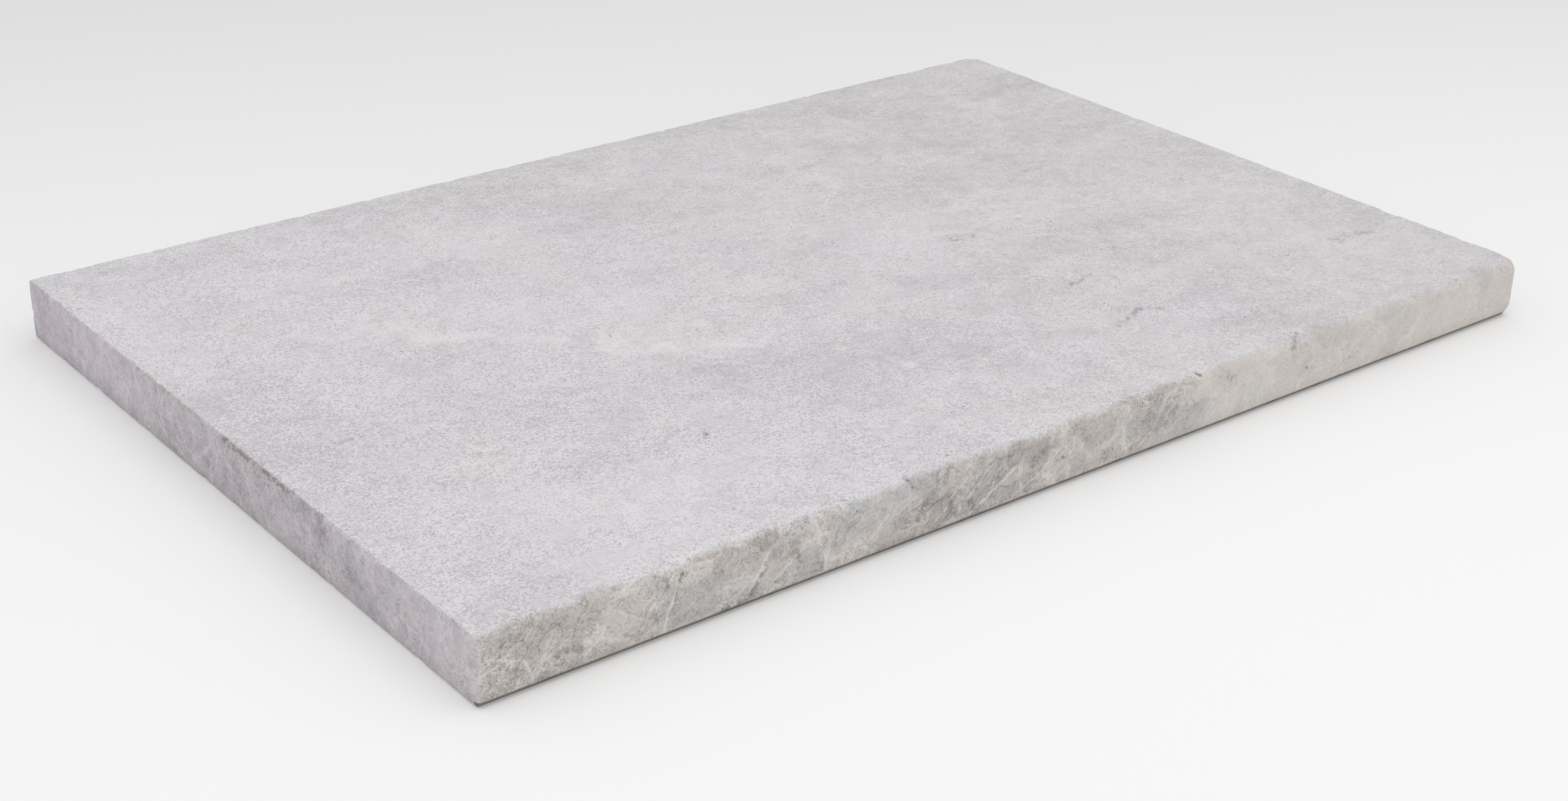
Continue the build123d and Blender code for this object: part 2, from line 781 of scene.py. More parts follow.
@dataclass(frozen=True)
class Balance:
    """How much each part of the pattern adds to the stone's lightness.

    Attributes:
        middle: Lightness halfway between a finish's dark and light colours.
        lump: Lightness of the broken lumps.
        thread: Calcite threads around the lumps.
        web: Web of calcite threads.
        web_share: Least and greatest share of the web, as the gate opens.
        stipple_share: Least and greatest share of the stipple, as the gate opens.
        vein_share: Least and greatest share of broad veins, as the gate opens.
        worm: Winding hollows in the stipple.
        worm_mean: What those hollows take away on average.
        clear: Lightness of the clear end of the pool edge.
        calm: Share of the pattern that this end loses.
        bed: Lighter and darker beds.
        bend: How far light and dark are both drawn down, so that darks run deeper.
        lift: What that bend takes away on average.
        blast: What blasting takes away.
        drift_and_shade: How far the walking face darkens from the near left to the far right, a
            painted falloff of light.
        drift_stipple: Share of the stipple that is lost on the same way.
        drift_veil: How far the warm veil grows on the same way.
    """

    middle: float = 0.5
    lump: float = 0.5
    thread: float = 1.3
    web: float = 0.8
    web_share: Span = (0.6, 1.2)
    stipple_share: Span = (0.35, 1.15)
    vein_share: Span = (0.3, 1.0)
    worm: float = 0.15
    worm_mean: float = 0.045
    clear: float = 0.2
    calm: float = 0.5
    bed: float = 0.18
    bend: float = 0.6
    lift: float = 0.02
    blast: float = 0.025
    drift_and_shade: float = 0.1
    drift_stipple: float = 0.5
    drift_veil: float = 0.3


@dataclass(frozen=True)
class StoneBody:
    """The solid pattern of the stone, written into any tree that asks for it.

    Attributes:
        nose_line: Place across the stone where blasting stops, in millimetres.
        nose_lean: How far that border leans back per millimetre below the walking face.
        nose_blur: Half the width of that border in millimetres.
        nose_wander: How far that border strays, in millimetres.
        cloud_size: Size of the broadest tones in millimetres.
        patch_size: Size of the smaller clouds on sawn faces.
        veil_size: Size of the warm areas.
        lump_size: Size of the broken lumps that the stone grew together from.
        bits_per_lump: How many smaller lumps lie along a lump.
        lump_hue: Shares of a lump's three random numbers in its hue.
        lump_level: Shares of a lump's three random numbers in its lightness.
        bit_level: Shares of a smaller lump's three random numbers in that lightness.
        web_size: Size of the largest meshes of calcite threads.
        thread_width: Width of the threads around lumps, as a share of a lump.
        bit_thread_width: Width of the threads around smaller lumps, as a share of one.
        bit_thread: How clearly those threads show against the others.
        crack_width: Width of the fine cracks, as a share of a smaller lump.
        worm_width: Width of the winding hollows, as a level of their noise.
        bedding: Direction in which the stone was laid down.
        drift_and_shade: Direction from the near left to the far right of the walking face, along
            which its pattern drifts and painted shade grows.
        drift_reach: Distance either way over which things change in that direction.
        clear_span: Places along the pool edge between which the stone clears up.
        clear_wander: How far that border strays, in millimetres.
        veil_span: Warmth either way at which an area is fully warm or not at all.
        own_hues: Hues between which a lump loses a tint that no seam gives it.
        seam_pull: How far a tinted seam spreads its tint over other hues.
        seam_push: Share of that by which it keeps the other tint away.
        grime_and_shade: Dirt that settles on the stone, and shade painted low down on it.
        gates: Where small things come in.
        balance: How the parts of the pattern are weighed.
    """

    nose_line: float = -197.7
    nose_lean: float = 0.2
    nose_blur: float = 2.0
    nose_wander: float = 9.0
    cloud_size: float = 120.0
    patch_size: float = 26.0
    veil_size: float = 40.0
    lump_size: float = 15.0
    bits_per_lump: float = 2.7
    lump_hue: Point = (1.0, 0.0, 0.0)
    lump_level: Point = (0.0, 0.6, 0.0)
    bit_level: Point = (0.0, 0.4, 0.0)
    web_size: float = 8.0
    thread_width: float = 0.06
    bit_thread_width: float = 0.12
    bit_thread: float = 0.8
    crack_width: float = 0.08
    worm_width: float = 0.05
    bedding: Point = (0.83, -0.25, 0.5)
    drift_and_shade: Point = (0.95, 0.3, 0.0)
    drift_reach: float = 280.0
    clear_span: Span = (45.0, 95.0)
    clear_wander: float = 40.0
    veil_span: float = 0.2
    own_hues: Span = (0.05, 0.25)
    seam_pull: float = 0.75
    seam_push: float = 0.5
    grime_and_shade: GrimeAndShade = GrimeAndShade()
    gates: Gates = Gates()
    balance: Balance = Balance()

    def finishes(self, pen: NodePen, place: Wire, sawn: Wire) -> tuple[Wire, Wire]:
        """Tell the blasted face from the honed edge.

        Args:
            pen: Writer of the tree.
            place: Place in the stone in millimetres.
            sawn: 1 on sawn faces, 0 elsewhere.

        Returns:
            The shares of the blasted and of the honed finish.
        """
        stray = pen.swing(place, size=16.0, seed=1, detail=4.0)
        leaning = pen.along(place, (0.0, 1.0, self.nose_lean)) - self.nose_lean * TOP
        across = leaning - stray * self.nose_wander
        worked = pen.rise(across, self.nose_line - self.nose_blur, self.nose_line + self.nose_blur)
        free = 1 - sawn
        return worked * free, (1 - worked) * free

    def bent(self, pen: NodePen, place: Wire, size: float, stray: float, seed: int) -> Wire:
        """Bend straight lines by noise.

        Args:
            pen: Writer of the tree.
            place: Place in the stone in millimetres.
            size: Size of the bends in millimetres.
            stray: How far a point may move, in millimetres.
            seed: Number that sets these bends apart.

        Returns:
            The moved place.
        """
        noise = pen.noise(place, size, seed, detail=4.0, roughness=0.65, output=1)
        centred = pen.vector("SUBTRACT", noise, (0.5, 0.5, 0.5))
        return pen.vector("ADD", place, pen.scaled(centred, 2 * stray))

    def bedded(self, pen: NodePen, place: Wire, share: float) -> Wire:
        """Draw the pattern out along the stone's bedding.

        Args:
            pen: Writer of the tree.
            place: Place in the stone in millimetres.
            share: Share of the length along the bedding that is taken away.

        Returns:
            The moved place.
        """
        squeezed = pen.along(place, self.bedding) * -share
        return pen.vector("ADD", place, pen.scaled(self.bedding, squeezed))

    def loose(self, pen: NodePen, place: Wire) -> Wire:
        """Bend the broad seams of the walking face."""
        return self.bent(pen, place, size=26.0, stray=14.0, seed=2)

    def tight(self, pen: NodePen, place: Wire) -> Wire:
        """Bend the narrow seams of the worked edges."""
        return self.bent(pen, place, size=8.0, stray=3.0, seed=3)

    def seams(self, pen: NodePen, place: Wire, seams: Sequence[Seam]) -> Wire:
        """Draw some seams.

        Args:
            pen: Writer of the tree.
            place: Place in the stone in millimetres, already bent.
            seams: The seams to draw.

        Returns:
            How far each point lies in one of them, from 0 to 1.
        """
        depths = []
        for seam in seams:
            run = Vector(seam.end) - Vector(seam.start)
            offset = pen.vector("SUBTRACT", place, seam.start)
            share = pen.along(offset, run / run.length_squared)
            inside = pen.wire("ShaderNodeClamp", None, {"Value": share})
            nearest = pen.scaled(tuple(run), inside)
            distance = pen.vector("DISTANCE", offset, nearest, output="Value")
            depths.append(pen.rise(distance, 0.0, seam.reach, seam.strength, 0.0))
        return pen.largest(*depths)

    def pattern(self, pen: NodePen, place: Wire) -> Pattern:
        """Write everything in the stone that the listed seams don't draw.

        Args:
            pen: Writer of the tree.
            place: Place in the stone in millimetres.

        Returns:
            The wires of the pattern.
        """
        gates = self.gates
        broad = self.loose(pen, self.bedded(pen, place, share=0.35))
        warped = self.bent(pen, place, size=6.0, stray=3.5, seed=8)
        drawn = self.bedded(pen, warped, share=0.25)
        broken = self.bedded(pen, warped, share=0.45)
        lump, gap = pen.cells(broken, self.lump_size)
        bit, chink = pen.cells(broken, self.lump_size / self.bits_per_lump)
        gate = pen.noise(place, size=16.0, seed=7, detail=3.0, roughness=0.6)
        threads = pen.fall(gap, 0.0, self.thread_width) * pen.rise(gate, *gates.thread)
        bit_threads = pen.fall(chink, 0.0, self.bit_thread_width) * self.bit_thread
        worm = pen.swing(place, size=2.4, seed=11, detail=1.0)
        return Pattern(
            mottle=pen.swing(broad, self.cloud_size, seed=4, detail=9.0, roughness=0.98),
            patch=pen.swing(place, self.patch_size, seed=5, detail=7.0, roughness=0.9),
            web=pen.ridges(drawn, self.web_size, seed=9, roughness=0.7),
            hue=pen.along(lump, self.lump_hue),
            level=pen.along(lump, self.lump_level) + pen.along(bit, self.bit_level) - 0.5,
            thread=pen.largest(threads, bit_threads * pen.rise(gate, *gates.bit_thread)),
            crack=pen.fall(chink, 0.0, self.crack_width) * pen.fall(gate, *gates.crack),
            veil=pen.swing(broad, self.veil_size, seed=12, detail=5.0, roughness=0.8),
            gate=gate,
            spots=pen.noise(place, size=2.6, seed=10, detail=2.0),
            grain=pen.swing(place, size=1.0, seed=6, detail=2.0, roughness=0.8),
            worm=pen.fall(abs(worm), 0.0, self.worm_width),
        )

    def fills(self, pen: NodePen, place: Wire, seen: Pattern) -> dict[Tone, Wire]:
        """Draw all the placed seams.

        Args:
            pen: Writer of the tree.
            place: Place in the stone in millimetres.
            seen: The rest of the stone's pattern, which breaks the seams up.

        Returns:
            How far each point lies in a seam of each tone, from 0 to 1.
        """
        loose, tight = self.loose(pen, place), self.tight(pen, place)
        patchy = pen.rise(seen.gate, *self.gates.vein, *self.balance.vein_share)
        fills = {}
        for tone in Tone:
            fills[tone] = self.seams(pen, tight, WORKED_EDGE_SEAMS[tone])
            if tone in WALKING_FACE_SEAMS:
                broad = self.seams(pen, loose, WALKING_FACE_SEAMS[tone])
                broad = broad * patchy if tone is Tone.PALE else broad
                fills[tone] = pen.largest(fills[tone], broad)
        for tone in (Tone.DARK, Tone.RUST):
            fills[tone] = fills[tone] * pen.rise(seen.spots, *self.gates.dark_spot)
        return fills

    def soiled_and_shaded(
        self,
        pen: NodePen,
        place: Wire,
        seen: Pattern,
        fissures: Wire,
        blasted: Wire,
        sawn: Wire,
    ) -> Wire:
        """Tell how much dirt lies on the stone and how much shade is painted low down on it.

        Args:
            pen: Writer of the tree.
            place: Place in the stone in millimetres.
            seen: The stone's pattern.
            fissures: How far each point lies in an open fissure.
            blasted: Share of the blasted finish.
            sawn: Share of the sawn finish.

        Returns:
            The share of dirt and painted shade, from 0 to 1.
        """
        grime_and_shade = self.grime_and_shade
        height = pen.along(place, UP)
        inward = pen.along(place, ACROSS) - POOL
        # Painted shade with dirt along the foot of the pool edge, the dark line where the stone
        # meets the floor.
        foot = pen.fall(height, *grime_and_shade.foot_shade_height) * pen.fall(inward, *grime_and_shade.foot_shade_depth)
        # Painted shade: honed and sawn faces darken towards the bed.
        low = pen.fall(height, 0.0, grime_and_shade.low_shade_height) * (1 - blasted)
        low_shade_share = grime_and_shade.low_shade_honed + sawn * (grime_and_shade.low_shade_sawn - grime_and_shade.low_shade_honed)
        pits = pen.rise(seen.spots, *self.gates.pit_spot) * pen.rise(seen.gate, *self.gates.pit)
        return pen.largest(
            fissures * grime_and_shade.fissure, pits * grime_and_shade.fleck, foot * grime_and_shade.foot, low * low_shade_share
        )

    def look(self, pen: NodePen, place: Wire, sawn: Wire) -> Look:
        """Write the stone as its three finishes show it.

        Args:
            pen: Writer of the tree.
            place: Place in the stone in millimetres.
            sawn: 1 on sawn faces, 0 elsewhere.

        Returns:
            Colour, roughness and fine relief.
        """
        balance = self.balance
        blasted, honed = self.finishes(pen, place, sawn)
        seen = self.pattern(pen, place)
        fills = self.fills(pen, place, seen)
        border = pen.along(place, ALONG) + (seen.gate - 0.5) * self.clear_wander
        clear = pen.rise(border, *self.clear_span) * honed
        busy = 1 - clear * balance.calm
        # A ramp from the near left to the far right: it thins the stipple, warms the veil and
        # carries the painted shade of the walking face.
        drift_and_shade = pen.rise(pen.along(place, self.drift_and_shade), -self.drift_reach, self.drift_reach)
        dense = pen.rise(seen.gate, *self.gates.stipple, *balance.stipple_share)
        dense = dense * (1 - drift_and_shade * balance.drift_stipple)
        stippled = (seen.grain - seen.worm * balance.worm + balance.worm_mean) * dense
        veil = seen.veil + (drift_and_shade - 0.5) * balance.drift_veil
        warmth = pen.rise(veil, -self.veil_span, self.veil_span)
        lively = pen.rise(seen.gate, *self.gates.web, *balance.web_share)
        grown = seen.level * balance.lump + seen.thread * balance.thread - seen.crack
        grown = grown + seen.web * lively * balance.web

        def tinted_lumps(tone: Tone, other: Tone, hue: Wire) -> Wire:
            """Tell which broken lumps carry a tint: few by themselves, most in a seam of it."""
            pull = (fills[tone] - fills[other] * self.seam_push) * self.seam_pull
            return pen.fall(hue - pull, *self.own_hues) * busy

        lumps = {
            Tone.CLOUD: tinted_lumps(Tone.CLOUD, Tone.WARM, 1 - seen.hue),
            Tone.WARM: tinted_lumps(Tone.WARM, Tone.CLOUD, seen.hue),
        }

        def shown(finish: Finish, tone: Wire) -> Wire:
            """Colour the body as one finish shows it.

            Args:
                finish: The finish.
                tone: The clouds that this finish lays bare.

            Returns:
                The colour of the body without dirt and painted shade.
            """
            level = balance.middle + (tone * finish.contrast + grown * finish.web) * busy
            level = level + stippled * finish.stipple + clear * balance.clear
            level = level + (fills[Tone.LIGHT] - fills[Tone.SHADE]) * balance.bed
            off = level - balance.middle
            level = level - off * off * balance.bend + balance.lift
            # Painted shade: the walking face darkens towards the far right, as if its light fell
            # off there.
            if finish is BLASTED:
                level = level - balance.blast - drift_and_shade * balance.drift_and_shade
            colour = pen.mix(level, finish.dark, finish.light)
            colour = pen.mix(warmth, colour, finish.veil, "MULTIPLY")
            for kind, tint in ((Tone.CLOUD, finish.cloud), (Tone.WARM, finish.warm)):
                share = fills[kind] * (1 - finish.broken) + lumps[kind] * finish.broken
                colour = pen.mix(share, colour, tint, "MULTIPLY")
            for kind, fill in (
                (Tone.PALE, finish.pale), (Tone.DARK, finish.clay), (Tone.RUST, finish.rust)
            ):
                colour = pen.mix(fills[kind], colour, fill)
            return colour

        colour = pen.mix(honed, shown(BLASTED, seen.mottle), shown(HONED, seen.mottle))
        colour = pen.mix(sawn, colour, shown(SAWN, seen.patch))
        # Dirt in fissures and pits, and painted shade at the foot and low down on the faces.
        dirt_and_shade = self.soiled_and_shaded(pen, place, seen, fills[Tone.OPEN], blasted, sawn)
        worked = ((blasted, BLASTED), (honed, HONED), (sawn, SAWN))
        return Look(
            colour=pen.mix(dirt_and_shade, colour, self.grime_and_shade.colour),
            roughness=sum(share * finish.roughness for share, finish in worked),
            height=seen.grain * sum(share * finish.grain for share, finish in worked),
        )


@dataclass(frozen=True)
class LimestoneMaterial:
    """The shader of the stone.

    Attributes:
        body: The solid pattern.
        name: Name of the material.
    """

    body: StoneBody
    name: str = "limestone"

    def build(self) -> bpy.types.Material:
        """Make the material.

        Returns:
            The finished material.
        """
        material = bpy.data.materials.new(self.name)
        pen = NodePen.fresh(material)
        inside = pen.wire("ShaderNodeTexCoord", None, None, "Object")
        sawn = pen.wire("ShaderNodeAttribute", {"attribute_name": "sawn"}, None, "Fac")
        look = self.body.look(pen, pen.scaled(inside, 1 / MM), sawn)
        normal = pen.wire(
            "ShaderNodeBump", None, {"Strength": 1.0, "Distance": MM, "Height": look.height}
        )
        shader = pen.wire(
            "ShaderNodeBsdfPrincipled",
            None,
            {"Base Color": look.colour, "Roughness": look.roughness, "Normal": normal},
        )
        pen.node("ShaderNodeOutputMaterial", None, {"Surface": shader})
        return material


def graded(length: float, fine: float, coarse: float, ramp: float) -> np.ndarray:
    """Place stations along a line, close together near both its ends.

    Args:
        length: Length of the line.
        fine: Spacing at the ends.
        coarse: Spacing in the middle.
        ramp: Distance over which the spacing grows.

    Returns:
        The stations from 0 to the length.
    """
    half = [0.0]
    while half[-1] < length / 2:
        share = min(half[-1] / ramp, 1.0)
        half.append(half[-1] + fine + (coarse - fine) * share)
    stations = np.array(half) * (length / 2 / half[-1])
    return np.concatenate([stations, length - stations[-2::-1]])


def spread(pattern: np.ndarray, start: float, stop: float) -> np.ndarray:
    """Stretch rising stations so that they run from one place to another.

    Args:
        pattern: Stations to copy.
        start: Where the first one goes.
        stop: Where the last one goes.

    Returns:
        The new stations.
    """
    share = (pattern - pattern[0]) / (pattern[-1] - pattern[0])
    return start + share * (stop - start)


@dataclass(frozen=True)
class Relief:
    """Sizes of the worked surface in millimetres, which its tree takes as inputs.

    Attributes:
        swell: Depth of the slow waves that blasting leaves on the walking face.
        blast: Depth of the pits that blasting leaves on the walking face.
        wear: Depth to which the sawn edges are rubbed.
        chips: Depth of the chips along the sawn edges.
        corners: Depth to which the corners are rubbed.
        fissures: Depth of the open fissures.
        wear_reach: Distance from an edge within which it is rubbed.
        chip_reach: Distance from an edge within which it is chipped.
        corner_reach: Distance from a corner within which it is rubbed.
    """

    swell: float = 0.16
    blast: float = 0.25
    wear: float = 0.8
    chips: float = 1.3
    corners: float = 1.8
    fissures: float = 0.8
    wear_reach: float = 1.8
    chip_reach: float = 3.2
    corner_reach: float = 7.0


@dataclass
class CopingStone:
    """The stone itself, from its sawn bed to its blasted walking face.

    Attributes:
        low: Lowest corner of its box in metres.
        high: Highest corner of its box in metres.
        nose_radius: Pencil round between walking face and pool edge.
        foot_chamfer: Eased lower corner of the pool edge.
        arris: Rubbed chamfer of the sawn edges.
        fine: Spacing of the mesh at the edges.
        coarse_along: Spacing of the mesh along the pool edge.
        coarse_across: Spacing of the mesh across the stone.
        ramp: Distance over which the spacing grows.
        bed_spacing: Spacing of the mesh on the bed.
        turn: Distance from an edge within which the surface's outward direction turns.
        arc_steps: Steps in each half of the nose.
        weld: Distance at which two points of the bed count as one.
        rubbed_span: Places in millimetres along the stone between which corners get rubbed more.
        rubbed_share: How far the corners are rubbed there, as shares of the full depth.
        chip_levels: Levels of noise between which a chip comes in.
        bed_free: Heights in millimetres between which points become free to move up or down.
        relief_sizes: Sizes of the worked surface.
    """

    low: Vector
    high: Vector
    nose_radius: float = 5.0 * MM
    foot_chamfer: float = 2.5 * MM
    arris: float = 0.8 * MM
    fine: float = 0.55 * MM
    coarse_along: float = 1.75 * MM
    coarse_across: float = 2.6 * MM
    ramp: float = 14.0 * MM
    bed_spacing: float = 16.0 * MM
    turn: float = 3.5 * MM
    arc_steps: int = 5
    weld: float = 1e-7
    rubbed_span: Span = (-200.0, 250.0)
    rubbed_share: Span = (0.1, 1.0)
    chip_levels: Span = (0.54, 0.7)
    bed_free: Span = (0.1, 2.0)
    relief_sizes: Relief = field(default_factory=Relief)

    def section(self) -> dict[str, np.ndarray]:
        """Draw the four sides of the section across the pool edge.

        Returns:
            Points (y, z) of the "front", "top", "back" and "bottom" sides. Front and back
            run upwards, top and bottom run from the pool edge to the back joint.
        """
        y0, y1 = self.low.y, self.high.y
        z0, z1 = self.low.z, self.high.z
        radius, foot, arris = self.nose_radius, self.foot_chamfer, self.arris
        angles = np.linspace(0.0, math.pi / 2, 2 * self.arc_steps + 1)
        arc = np.column_stack(
            [y0 + radius - radius * np.cos(angles), z1 - radius + radius * np.sin(angles)]
        )

        run = graded(y1 - arris - (y0 + radius), self.fine, self.coarse_across, self.ramp)
        flat_top = np.column_stack([y0 + radius + run, np.full(len(run), z1)])
        rise = graded(z1 - radius - (z0 + foot), self.fine * 2, self.coarse_along, self.ramp)
        flat_front = np.column_stack([np.full(len(rise), y0), z0 + foot + rise])

        foot_middle = (y0 + foot / 2, z0 + foot / 2)
        low_arris = (y1 - arris / 2, z0 + arris / 2)
        high_arris = (y1 - arris / 2, z1 - arris / 2)
        top = np.vstack([arc[self.arc_steps : -1], flat_top, [high_arris]])
        front = np.vstack([[foot_middle], flat_front, arc[1 : self.arc_steps + 1]])
        up = spread(front[1:-1, 1], z0 + arris, z1 - arris)
        back = np.vstack([[low_arris], np.column_stack([np.full(len(up), y1), up]), [high_arris]])
        across = spread(top[1:-1, 0], y0 + foot, y1 - arris)
        bed = np.column_stack([across, np.full(len(across), z0)])
        bottom = np.vstack([[foot_middle], bed, [low_arris]])
        return {"front": front, "top": top, "back": back, "bottom": bottom}

    def stations(self) -> tuple[np.ndarray, np.ndarray]:
        """Place the sections along the pool edge.

        Returns:
            The place of each section and how far it shrinks there, for the arris of the ends.
        """
        run = graded(
            self.high.x - self.low.x - 2 * self.arris, self.fine, self.coarse_along, self.ramp
        )
        bevel = np.array([0.0, self.arris / 2])
        places = np.concatenate(
            [self.low.x + bevel, self.low.x + self.arris + run, self.high.x - bevel[::-1]]
        )
        shrink = np.zeros(len(places))
        shrink[:2] = self.arris - bevel
        shrink[-2:] = self.arris - bevel[::-1]
        return places, shrink

    def shell(self) -> bpy.types.Mesh:
        """Build the closed mesh of the stone before its surface is worked.

        Returns:
            The mesh, with the point attributes that the relief and the material read.
        """
        sides = self.section()
        rows, columns = len(sides["front"]), len(sides["top"])
        loop = np.vstack(
            [sides["front"], sides["top"][1:], sides["back"][-2::-1], sides["bottom"][-2:0:-1]]
        )
        ahead = np.roll(loop, -1, axis=0) - np.roll(loop, 1, axis=0)
        outward = np.column_stack([-ahead[:, 1], ahead[:, 0]])
        outward /= np.linalg.norm(outward, axis=1)[:, None]

        # Between the ends, the bed needs only the rows beside the foot and the back arris.
        around = len(loop)
        kept = np.zeros(around, bool)
        kept[: 2 * rows + columns - 1] = True
        kept[-1] = True
        places, shrink = self.stations()
        last = len(places) - 1
        full = [0, 1, 2, last - 2, last - 1, last]

        points: list[np.ndarray] = []
        index = np.full((len(places), around), -1)
        count = 0
        for station, (x, inset) in enumerate(zip(places, shrink)):
            here = np.ones(around, bool) if station in full else kept
            ring = (loop - outward * inset)[here]
            points.append(np.column_stack([np.full(len(ring), x), ring]))
            index[station, here] = np.arange(count, count + len(ring))
            count += len(ring)

        following = np.roll(index, -1, axis=1)
        quads = np.stack([index[:-1], index[1:], following[1:], following[:-1]], axis=-1)
        quads = quads.reshape(-1, 4)
        faces = [tuple(quad) for quad in quads[(quads >= 0).all(axis=1)].tolist()]

        for station, flip in ((0, True), (last, False)):
            outline = points[station][:, 1:]
            inner, grid = self._end_grid(outline, index[station], rows, columns, count)
            points.append(np.column_stack([np.full(len(inner), places[station]), inner]))
            count += len(inner)
            cells = np.stack([grid[:-1, :-1], grid[1:, :-1], grid[1:, 1:], grid[:-1, 1:]], axis=-1)
            faces += [tuple(cell[::-1] if flip else cell) for cell in cells.reshape(-1, 4).tolist()]

        bed_points, bed_faces = self._bed(np.vstack(points), index, columns, full, count)
        points.append(bed_points)
        faces += bed_faces

        corners = np.vstack(points)
        mesh = bpy.data.meshes.new("coping_stone_shell")
        mesh.from_pydata(corners.tolist(), [], faces)
        mesh.polygons.foreach_set("use_smooth", np.ones(len(mesh.polygons), bool))
        self._mark(mesh, corners)
        return mesh

    def _end_grid(
        self, ring: np.ndarray, index: np.ndarray, rows: int, columns: int, first: int
    ) -> tuple[np.ndarray, np.ndarray]:
        """Lay a grid over one sawn end.

        Args:
            ring: Points (y, z) of the section at that end.
            index: Their numbers in the mesh.
            rows: Number of points up the front.
            columns: Number of points along the top.
            first: Number of the first new point.

        Returns:
            The new inner points (y, z), and the numbers of all points as columns by rows.
        """
        front = np.arange(rows)
        top = rows - 1 + np.arange(columns)
        back = (2 * rows + columns - 3) - np.arange(rows)
        bottom = (2 * rows + 2 * columns - 4 - np.arange(columns)) % len(ring)
        across = spread(ring[top][:, 0], 0.0, 1.0)[:, None]
        up = spread(ring[front][:, 1], 0.0, 1.0)[None, :]
        y = (1 - across) * ring[front][None, :, 0] + across * ring[back][None, :, 0]
        z = (1 - up) * ring[bottom][:, None, 1] + up * ring[top][:, None, 1]
        patch = np.stack([y, z], axis=-1)

        grid = np.empty((columns, rows), int)
        inner = (columns - 2) * (rows - 2)
        grid[1:-1, 1:-1] = first + np.arange(inner).reshape(columns - 2, rows - 2)
        grid[0, :] = index[front]
        grid[-1, :] = index[back]
        grid[:, 0] = index[bottom]
        grid[:, -1] = index[top]
        return patch[1:-1, 1:-1].reshape(-1, 2), grid

    def _bed(
        self, points: np.ndarray, index: np.ndarray, columns: int, full: list[int], first: int
    ) -> tuple[np.ndarray, list[tuple[int, ...]]]:
        """Close the bed with triangles.

        Args:
            points: All points of the mesh so far.
            index: Numbers of the points, by station and place round the section.
            columns: Number of points along the bed at the ends.
            full: Stations that carry the whole section.
            first: Number of the first new point.

        Returns:
            The new points and the faces.
        """
        near, far = full[2], full[3]
        bed = index[:, -(columns - 2) :]
        border = np.concatenate(
            [bed[near:far, -1], bed[far, ::-1], bed[far - 1 : near : -1, 0], bed[near, :-1]]
        )
        step = self.bed_spacing
        xs = np.arange(self.low.x + 2 * step, self.high.x - step, step)
        ys = np.arange(self.low.y + 2 * step, self.high.y - step, step)
        inner = np.stack(np.meshgrid(xs, ys), axis=-1).reshape(-1, 2)
        flat = [Vector(point) for point in np.vstack([points[border][:, :2], inner]).tolist()]
        outline = [list(range(len(border)))]
        _, _, cells, sources, *_ = delaunay_2d_cdt(flat, [], outline, INSIDE_ONLY, self.weld)
        numbers = np.concatenate([border, first + np.arange(len(inner))])
        to_mesh = [int(numbers[source[0]]) for source in sources]
        faces = [tuple(to_mesh[corner] for corner in reversed(cell)) for cell in cells]
        return np.column_stack([inner, np.full(len(inner), self.low.z)]), faces

    def _mark(self, mesh: bpy.types.Mesh, points: np.ndarray) -> None:
        """Write the point attributes that the relief and the material read.

        Args:
            mesh: The mesh of the stone.
            points: Its points.
        """
        left, right = points[:, 0] - self.low.x, self.high.x - points[:, 0]
        front, back = points[:, 1] - self.low.y, self.high.y - points[:, 1]
        bed, top = points[:, 2] - self.low.z, self.high.z - points[:, 2]
        ends = np.minimum(left, right)
        pairs = [(ends, front), (ends, back), (ends, bed), (ends, top)]
        pairs += [(back, top), (back, bed), (front, bed)]
        edge = np.min([np.hypot(one, other) for one, other in pairs], axis=0)

        worked = np.minimum(top, front)
        sawn_side = np.minimum(np.minimum(ends, back), bed)
        sawn = np.clip(1.0 + (worked - sawn_side) / self.arris, 0.0, 1.0)
        sawn[(front < self.foot_chamfer) & (bed > 0.0) & (ends > self.arris)] = 0.0
        corner = np.sqrt(ends**2 + np.minimum(front, back) ** 2 + np.minimum(bed, top) ** 2)
        for name, values in (("sawn", sawn), ("edge", edge / MM), ("corner", corner / MM)):
            attribute = mesh.attributes.new(name, "FLOAT", "POINT")
            attribute.data.foreach_set("value", values.astype(np.float32))

        def near(gap: np.ndarray) -> np.ndarray:
            """Tell how near points lie to a face, from 0 to 1."""
            return np.clip(1 - gap / self.turn, 0.0, 1.0)

        facing = np.column_stack(
            [near(right) - near(left), near(back) - near(front), near(top) - near(bed)]
        )
        facing /= np.maximum(np.linalg.norm(facing, axis=1), 1e-9)[:, None]
        attribute = mesh.attributes.new("facing", "FLOAT_VECTOR", "POINT")
        attribute.data.foreach_set("vector", facing.astype(np.float32).ravel())

    def relief(self, body: StoneBody, material: bpy.types.Material) -> bpy.types.NodeTree:
        """Write the tree that works the stone's surface.

        Args:
            body: The solid pattern of the stone.
            material: Material of the finished stone.

        Returns:
            The geometry tree, with its sizes in millimetres as named inputs.
        """
        tree = bpy.data.node_groups.new("coping_relief", "GeometryNodeTree")
        tree.interface.new_socket("Geometry", in_out="INPUT", socket_type="NodeSocketGeometry")
        for name in asdict(self.relief_sizes):
            tree.interface.new_socket(name, in_out="INPUT", socket_type="NodeSocketFloat")
        tree.interface.new_socket("Geometry", in_out="OUTPUT", socket_type="NodeSocketGeometry")
        pen = NodePen(tree)
        source = pen.node("NodeGroupInput")
        size = {name: Wire(pen, source.outputs[name]) for name in asdict(self.relief_sizes)}

        def marked(name: str, kind: str = "FLOAT") -> Wire:
            """Read a point attribute."""
            return pen.wire(
                "GeometryNodeInputNamedAttribute", {"data_type": kind}, {"Name": name}, "Attribute"
            )

